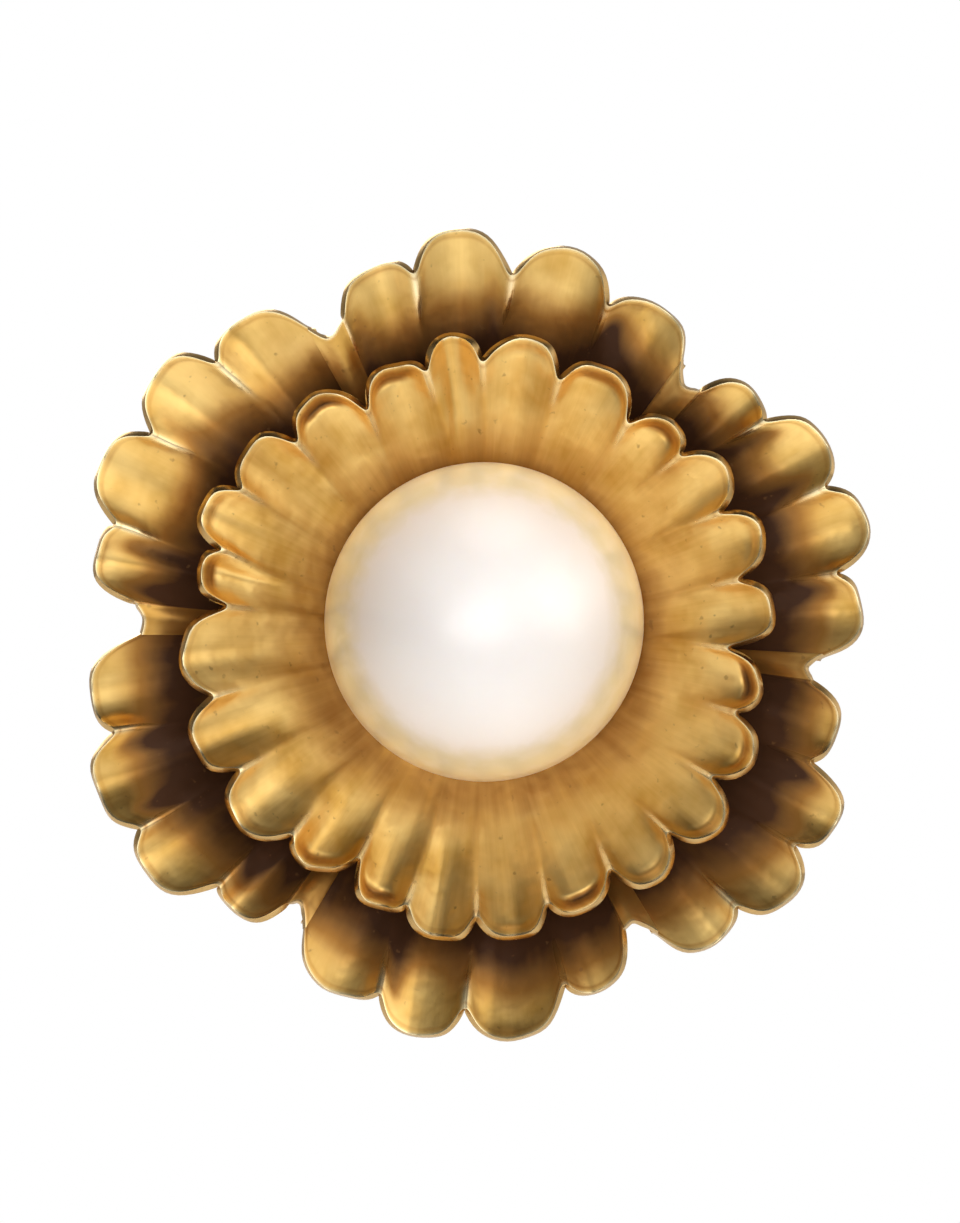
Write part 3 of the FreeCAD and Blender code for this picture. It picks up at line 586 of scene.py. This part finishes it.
# How far out the painted shade under the cup reaches at the start of each petal, in its four
# lobes, and at its end
SHADE_REACH = [
    [24.0, 25.3, 24.2, 24.8, 23.6, 23.3],
    [23.3, 23.6, 25.2, 24.4, 25.0, 25.4],
    [25.6, 25.8, 28.0, 26.6, 24.8, 24.6],
    [24.8, 25.4, 24.8, 26.8, 25.6, 24.6],
    [24.8, 25.2, 27.0, 27.2, 25.6, 25.0],
    [25.0, 25.4, 25.4, 24.6, 23.8, 23.9],
]
UNDERLAP = 1.2
PETAL_BULGE = 0.88


def petal_lobes(number):
    """The four lobes of a petal, and its flange's crease, valley and free edge."""
    below = LAPS[number][2]
    above = LAPS[(number + 1) % len(LAPS)]
    turn = 0.0 if above[0][0] > below[0] else FULL_TURN
    flange = [(angle + turn, radius) for angle, radius in above]
    outline = PETALS[number]
    notches = [(below[0] - UNDERLAP, below[1] - 0.2)] + outline[1::2] + [flange[0]]
    lobes = [Lobe(start, tip, end, PETAL_BULGE) for start, tip, end
             in zip(notches[:-1], outline[0::2], notches[1:])]
    return lobes, flange


print("first petal runs from", petal_lobes(0)[0][0].start, "to", petal_lobes(0)[1][2])

# %% The petals' surface
PETAL_FLOOR = 1.5
PETAL_ROOT_RADIUS = 9.0
PETAL_RIM_RADIUS = 31.5
PETAL_RISE = 6.6
PETAL_FLARE_POWER = 1.12
PETAL_INNER_RADIUS = 3.2
PETAL_COLUMNS = 26
FLANGE_COLUMNS = 9
PETAL_ROWS = 44
LEAN = 0.5
LEAN_RADIUS = 25.0
PETAL_TRIM = 0.38
FADE_IN = 2.4
FADE_OUT = 4.4


def between(values, share):
    """A value read along a list of evenly spaced ones."""
    place = min(max(share, 0.0), 1.0) * (len(values) - 1)
    index = min(int(place), len(values) - 2)
    return values[index] + (values[index + 1] - values[index]) * ease(0, 1, place - index)


def petal_base(radius):
    """The height of a petal without its scoops."""
    rise = max(radius - PETAL_ROOT_RADIUS, 0.0) / (PETAL_RIM_RADIUS - PETAL_ROOT_RADIUS)
    return PETAL_FLOOR + PETAL_RISE * rise ** PETAL_FLARE_POWER


def petal_point(number):
    """The function that lays out one petal's grid, and how many columns the grid has."""
    lobes, flange = petal_lobes(number)
    crease, valley, free = flange
    first, last = lobes[0].start[0], free[0]
    lobe_columns = PETAL_COLUMNS * len(lobes)
    columns = lobe_columns + FLANGE_COLUMNS
    reach = SHADE_REACH[number]

    def point(across, out):
        column = across * columns
        out = towards_edge(out)
        lap = max(1 - ease(0, 3, column), ease(lobe_columns - 3, lobe_columns, column))
        if column <= lobe_columns:
            index = min(int(column / PETAL_COLUMNS), len(lobes) - 1)
            share = gathered(column / PETAL_COLUMNS - index)
            angle, edge, risen = lobes[index].at(share)
            edge += hand_cut(angle) * (1 - lap) - PETAL_TRIM
            radius = PETAL_INNER_RADIUS + (edge - PETAL_INNER_RADIUS) * out
            nearest = lobes[index].start if angle < lobes[index].tip[0] else lobes[index].end
            is_first_edge = index == 0 and angle < lobes[index].tip[0]
            beside = radius * math.radians(abs(angle - nearest[0]))
            before = index if angle < lobes[index].tip[0] else index + 1
            held = before in (0, len(lobes))
            side = math.cos(3.7 * before + number) * (1 if before == index else -1)
            scoop = crest(risen, 0.0 if held else side) - 0.45
            ridge = 0.0 if is_first_edge else bell(beside, 0.0, 0.85)
            wander = 0.0 if held else drift(5 * number + before, 2.4) * (1 - risen)
        else:
            share = (column - lobe_columns) / FLANGE_COLUMNS
            angle = crease[0] + (free[0] - crease[0]) * share
            turned = (valley[0] - crease[0]) / (free[0] - crease[0])
            if share < turned:
                edge = crease[1] + (valley[1] - crease[1]) * math.sin(math.pi / 2 * share / turned)
            else:
                up = (share - turned) / (1 - turned)
                edge = valley[1] + (free[1] - valley[1]) * (1 - math.cos(math.pi / 2 * up))
            edge -= PETAL_TRIM
            radius = PETAL_INNER_RADIUS + (edge - PETAL_INNER_RADIUS) * out
            wide = ease(15.0, 20.5, radius)
            angle = crease[0] + (angle - crease[0]) * max(wide, 0.02)
            risen = 0.0
            scoop = 0.55 + 0.25 * math.sin(math.pi * share)
            ridge = max(1 - share * 1.3, 0.0) * 0.9
            wander = 0.0
        inside = edge - radius
        height = petal_base(radius)
        along = (angle - first) / (last - first)
        height += LEAN * (2 * along - 1) * (radius / LEAN_RADIUS)
        height += 1.15 * ease(14.0, 29.0, radius) * scoop
        height += 0.5 * (1 - ease(0.0, 4.2, inside)) * ridge
        height += wavy(angle * 1.3 + 40 * number, radius, 0.3 * ease(14.0, 22.0, radius))
        lip = 1 - ease(0.0, 1.6, inside)
        roll = max(0.3 * math.sin(2.1 * column / PETAL_COLUMNS + number), 0.0)
        height += roll * lip * lip * risen
        # Polished rim and ridge lines, with a paler painted highlight
        polish_and_highlight = 1 - ease(0.0, 0.2, inside)
        if column <= lobe_columns and not is_first_edge:
            ridge_highlight = bell(beside, 0.0, 0.26) * (1 - ease(1.5, 5.0, inside))
            polish_and_highlight = max(polish_and_highlight, 0.85 * ridge_highlight)
        # Painted shade under the cup's rim, reaching a given radius in each lobe, and a thin
        # painted shade line inside the rim
        edge_of_shade = between(reach, along)
        painted_shade = 1 - ease(edge_of_shade - FADE_IN, edge_of_shade + FADE_OUT, radius)
        painted_shade += 0.22 * bell(inside, *RIM_SHADE_LINE)
        # Painted shade in the crease on one side of each ridge
        if column <= lobe_columns and not is_first_edge:
            ridge_shade = bell(beside, 1.1, 0.8) * max(side, 0.15)
            painted_shade += 0.52 * ridge_shade * ease(0.6, 2.4, inside) * (1 - ease(3.6, 7.5, inside))
        if column > lobe_columns:
            painted_shade *= 0.4
        angle += wander * ease(0.0, 7.0, inside)
        return on_flower(angle, radius, height), painted_shade, polish_and_highlight

    return point, columns


for number in range(len(PETALS)):
    point, columns = petal_point(number)
    petal = sheet_from_grid("petal_%d_pressed" % (number + 1), columns, PETAL_ROWS, point)
    thickened(petal, SHEET)
    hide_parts("outer_petal_%d" % (number + 1))
    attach(petal, "flower")
print("petals made", len(PETALS))

# %% [markdown]
# ## The pearl
# An imitation pearl is a resin bead under many thin coats of nacre lacquer. A bead is round to
# the eye everywhere, so it gets a sphere with far more faces than the frame's, cut flat where the
# frame's is. The finish is a pale body under one thick, silky coat, which gives the soft glow in
# the middle. The sides turned away from the front get a darker, warmer painted shade, and the side
# that faces the cup gets a painted reflection of the cup's gold in a flecked ring, which fades
# again where the bead goes down into the cup.

# %% The nacre
NACRE_DARK = (0.84, 0.79, 0.765)
NACRE_LIGHT = (0.87, 0.835, 0.81)
# A darker, warmer painted shade for the sides turned away from the front, and a painted reflection
# of the cup's gold
NACRE_SIDE_SHADE = (0.80, 0.65, 0.52)
NACRE_GOLD_REFLECTION = (0.68, 0.54, 0.31)
# Where each tone starts and is full, in metres from the back plate's back, minus to the front
SIDE_SHADE_DEPTHS = (-0.0197, -0.0150)
GOLD_REFLECTION_DEPTHS = (-0.0154, -0.0134)
CUP_DEPTHS = (-0.0098, -0.0075)


def nacre():
    """Lacquer on the pearl, with painted shade and a painted reflection of the cup's gold round
    its side.
    """
    material, tree, surface = new_material("nacre")
    place = tree.nodes.new("ShaderNodeTexCoord").outputs["Object"]
    clouds = noise(tree, place, 150.0, 4.0)
    depth = tree.nodes.new("ShaderNodeSeparateXYZ")
    feed(tree, place, depth.inputs[0])
    flecks = stretched(tree, noise(tree, place, DENT_SCALE, 2.0, 0.5), 0.46, 0.66, 0.0, 0.28)
    # The painted reflection of the cup's gold, flecked, and fading where the bead goes into the
    # cup
    gold_reflection = stretched(tree, depth.outputs["Y"], *GOLD_REFLECTION_DEPTHS)
    gold_reflection = math_node(tree, "SUBTRACT", gold_reflection, flecks, clamp=True)
    hidden = stretched(tree, depth.outputs["Y"], *CUP_DEPTHS, 1.0, 0.35)
    gold_reflection = math_node(tree, "MULTIPLY", gold_reflection, hidden)
    body = mixed(tree, stretched(tree, clouds, 0.3, 0.7), NACRE_DARK, NACRE_LIGHT)
    # Painted shade on the sides turned away from the front
    side_shade = stretched(tree, depth.outputs["Y"], *SIDE_SHADE_DEPTHS, 0.0, 0.85)
    body = mixed(tree, side_shade, body, NACRE_SIDE_SHADE)
    body = mixed(tree, math_node(tree, "MULTIPLY", gold_reflection, 0.85), body, NACRE_GOLD_REFLECTION)
    feed(tree, body, surface.inputs["Base Color"])
    for socket, value in (("Roughness", 0.32), ("Specular IOR Level", 0.6), ("Coat Weight", 1.0),
                          ("Coat Roughness", 0.34), ("Coat IOR", 2.1),
                          ("Subsurface Weight", 0.25), ("Subsurface Scale", 0.5),
                          ("Subsurface Radius", (0.004, 0.003, 0.002))):
        surface.inputs[socket].default_value = value
    feed(tree, bumped(tree, noise(tree, place, 900.0, 2.0), 0.05, 0.02),
         surface.inputs["Normal"])
    return material


# %% The bead
PEARL_RADIUS = 12.5
PEARL_SEGMENTS = 128
PEARL_RINGS = 72
pearl_low, pearl_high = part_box("pearl")
PEARL_MIDDLE = -pearl_low.y / MM - PEARL_RADIUS
PEARL_BACK = -pearl_high.y / MM


def made_pearl():
    """A ball cut flat at the back, smooth all over except on the flat."""
    bm = bmesh.new()
    bmesh.ops.create_uvsphere(bm, u_segments=PEARL_SEGMENTS, v_segments=PEARL_RINGS,
                              radius=PEARL_RADIUS * MM)
    bmesh.ops.rotate(bm, verts=bm.verts, matrix=Matrix.Rotation(math.pi / 2, 3, "X"))
    bmesh.ops.translate(bm, verts=bm.verts, vec=worn(0, 0, PEARL_MIDDLE))
    cut = bmesh.ops.bisect_plane(bm, geom=bm.verts[:] + bm.edges[:] + bm.faces[:],
                                 plane_co=worn(0, 0, PEARL_BACK), plane_no=(0, 1, 0),
                                 clear_outer=True)
    rim = [part for part in cut["geom_cut"] if isinstance(part, bmesh.types.BMEdge)]
    bmesh.ops.holes_fill(bm, edges=rim)
    for face in bm.faces:
        face.smooth = len(face.verts) < 5
    bmesh.ops.recalc_face_normals(bm, faces=bm.faces)
    return shown("pearl_bead", bm)


pearl = made_pearl()
pearl.data.materials.append(nacre())
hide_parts("pearl")
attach(pearl, "flower")
print("pearl from", round(PEARL_BACK, 2), "to", round(PEARL_MIDDLE + PEARL_RADIUS, 2), "mm")

# %% [markdown]
# ## The findings on the back
# The hinge, the pin, the rolling catch, the plate and the nut are turned and stamped parts whose
# shapes the frame already has. What they lack is the small rounding that every handled edge has,
# which is what catches the light. A copy of each is merged, its flat facets are joined, and a
# Bevel modifier rounds its edges.

# %% Rounded copies of the findings
def rounded_copy(source, name, width, material, body):
    """A frame piece with its edges rounded by the given width, in millimetres."""
    bm = bmesh.new()
    bm.from_mesh(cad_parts[source].data)
    bmesh.ops.remove_doubles(bm, verts=bm.verts, dist=0.001 * MM)
    bmesh.ops.dissolve_limit(bm, angle_limit=math.radians(1.0), verts=bm.verts, edges=bm.edges)
    for face in bm.faces:
        face.smooth = True
    piece = shown(name, bm)
    piece.data.materials.append(material)
    rounding = piece.modifiers.new("handled_edges", "BEVEL")
    rounding.width = width * MM
    rounding.segments = 3
    rounding.limit_method = "ANGLE"
    rounding.angle_limit = math.radians(35)
    rounding.harden_normals = True
    rounding.material = -1
    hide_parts(source)
    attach(piece, body)
    return piece


# The frame's piece, its dressed name, the rounding in millimetres, the metal and the body
FINDINGS = [
    ("back_plate", "back_plate_stamped", 0.12, TURNED, "flower"),
    ("spacer_collar", "collar_turned", 0.1, FINDING, "flower"),
    ("pearl_pad", "pearl_pad_turned", 0.06, FINDING, "flower"),
    ("centre_post", "centre_post_turned", 0.08, FINDING, "flower"),
    ("post_nut", "post_nut_milled", 0.08, FINDING, "flower"),
    ("hinge_base", "hinge_base_stamped", 0.08, FINDING, "flower"),
    ("hinge_rivet", "hinge_rivet_headed", 0.08, FINDING, "flower"),
    ("catch_base", "catch_housing", 0.08, FINDING, "flower"),
    ("catch_rotor", "catch_sleeve", 0.06, FINDING, "safety_sleeve"),
    ("pin_stem", "pin_wire_drawn", 0.05, WIRE, "pin"),
]
for source, name, width, material, body in FINDINGS:
    piece = rounded_copy(source, name, width, material, body)
print("findings", len(FINDINGS))

# %% [markdown]
# ## Studio
# The photograph is a cut-out on white, taken straight on with a long lens. Metal shows its
# surroundings, so most of the light is a soft room. A cup mirrors what lies on its far side: its
# upper lobes show the floor and its left ones the right wall. The photograph is brightest at the
# top and on the left, so the room is bright below and far to the right, and darker above and on
# the left. One soft lamp stands in front, one overhead and a small one by the floor keep the
# paper under the flower white, and one behind lights the findings.

# %% Floor, room and lamps
FLOOR_LEVEL = -0.13
FLOOR_SIZE = 0.9


def made_floor():
    bm = bmesh.new()
    bmesh.ops.create_grid(bm, x_segments=1, y_segments=1, size=FLOOR_SIZE)
    bmesh.ops.translate(bm, verts=bm.verts, vec=(0, 0, FLOOR_LEVEL))
    floor = shown("studio_floor", bm)
    material, tree, surface = new_material("studio_floor_paint")
    surface.inputs["Base Color"].default_value = (0.86, 0.86, 0.86, 1)
    surface.inputs["Roughness"].default_value = 0.9
    floor.data.materials.append(material)


def made_room():
    """Soft light from all round, and plain white where the camera looks past the flower."""
    world = bpy.data.worlds.new("studio_room")
    bpy.context.scene.world = world
    world.use_nodes = True
    tree = world.node_tree
    tree.nodes.clear()
    direction = tree.nodes.new("ShaderNodeTexCoord").outputs["Generated"]
    parts = tree.nodes.new("ShaderNodeSeparateXYZ")
    feed(tree, direction, parts.inputs[0])
    towards_viewer = math_node(tree, "MULTIPLY", parts.outputs["Y"], -1.0)
    front = stretched(tree, towards_viewer, 0.0, 1.0, 0.27, 0.86)
    # Darker on the left, and a bright wall far to the right
    right = math_node(tree, "ADD", stretched(tree, parts.outputs["X"], -1.0, 0.4, 0.48, 1.0),
                      stretched(tree, parts.outputs["X"], 0.45, 0.85, 0.0, 1.9))
    # Bright at eye level and below, and dark overhead
    below = stretched(tree, parts.outputs["Z"], 0.35, 0.85, 1.12, 0.25)
    # Large soft patches, like cloths hung about the room
    cloths = stretched(tree, noise(tree, direction, 2.4, 1.0), 0.36, 0.64, 0.6, 1.28)
    strength = front
    for share in (right, below, cloths):
        strength = math_node(tree, "MULTIPLY", strength, share)
    behind = stretched(tree, parts.outputs["Y"], 0.05, 0.5, 0.0, 0.35)
    strength = math_node(tree, "ADD", strength, behind)
    lights = tree.nodes.new("ShaderNodeBackground")
    lights.inputs["Color"].default_value = (1.0, 0.985, 0.96, 1)
    feed(tree, strength, lights.inputs["Strength"])
    backdrop = tree.nodes.new("ShaderNodeBackground")
    backdrop.inputs["Color"].default_value = (1, 1, 1, 1)
    seen = tree.nodes.new("ShaderNodeLightPath").outputs["Is Camera Ray"]
    choice = tree.nodes.new("ShaderNodeMixShader")
    feed(tree, seen, choice.inputs[0])
    feed(tree, lights.outputs[0], choice.inputs[1])
    feed(tree, backdrop.outputs[0], choice.inputs[2])
    output = tree.nodes.new("ShaderNodeOutputWorld")
    feed(tree, choice.outputs[0], output.inputs["Surface"])


def soft_lamp(name, place, size, power, aim, mirrored):
    """A round soft box. One that isn't mirrored lights the floor and leaves no glint."""
    light = bpy.data.lights.new(name, "AREA")
    light.shape = "DISK"
    light.size = size
    light.energy = power
    lamp = bpy.data.objects.new(name, light)
    bpy.context.scene.collection.objects.link(lamp)
    lamp.location = place
    lamp.rotation_mode = "QUATERNION"
    lamp.rotation_quaternion = (Vector(aim) - Vector(place)).to_track_quat("-Z", "Y")
    lamp.visible_camera = False
    lamp.visible_glossy = mirrored


# Name, place and diameter in metres, power in watts, the point it is aimed at, and whether the
# metal mirrors it
LAMPS = [
    ("front_lamp", (-0.06, -0.56, -0.05), 0.45, 0.70, (0, 0, 0), True),
    ("overhead_lamp", (0.05, -0.14, 0.40), 0.35, 1.7, (0.05, -0.05, FLOOR_LEVEL), False),
    ("floor_lamp", (0.03, -0.09, -0.04), 0.12, 0.06, (0.03, -0.09, FLOOR_LEVEL), False),
    ("back_lamp", (-0.25, 0.55, 0.35), 0.60, 3.4, (0, 0, 0), True),
]
made_floor()
made_room()
for lamp in LAMPS:
    soft_lamp(*lamp)
bpy.context.scene.view_settings.view_transform = "Standard"
print("lamps set", len(LAMPS))

# %% [markdown]
# ## Camera
# The picture's frame is 75 mm wide at the flower, and the flower's middle lies a little below the
# picture's middle. A camera 0.6 m away with a long lens sees it nearly without perspective.

# %% The camera
PIXEL = 0.078125
PHOTO_HEIGHT = 1223
FLOWER_BELOW_MIDDLE = 24.5
FLOWER_RIGHT_OF_MIDDLE = 1.0
CAMERA_DISTANCE = 600.0
FLOWER_PLANE = 8.0
SENSOR = 36.0

lens = bpy.data.cameras.new("studio_camera")
lens.sensor_width = SENSOR
lens.lens = SENSOR * CAMERA_DISTANCE / (PHOTO_HEIGHT * PIXEL)
lens.clip_start, lens.clip_end = 0.01, 10.0
camera = bpy.data.objects.new("studio_camera", lens)
bpy.context.scene.collection.objects.link(camera)
camera.location = worn(FLOWER_MIDDLE[0] - FLOWER_RIGHT_OF_MIDDLE * PIXEL,
                       FLOWER_MIDDLE[1] + FLOWER_BELOW_MIDDLE * PIXEL,
                       CAMERA_DISTANCE + FLOWER_PLANE)
camera.rotation_euler = (math.pi / 2, 0, 0)
bpy.context.scene.camera = camera
print("lens", round(lens.lens, 1), "mm")
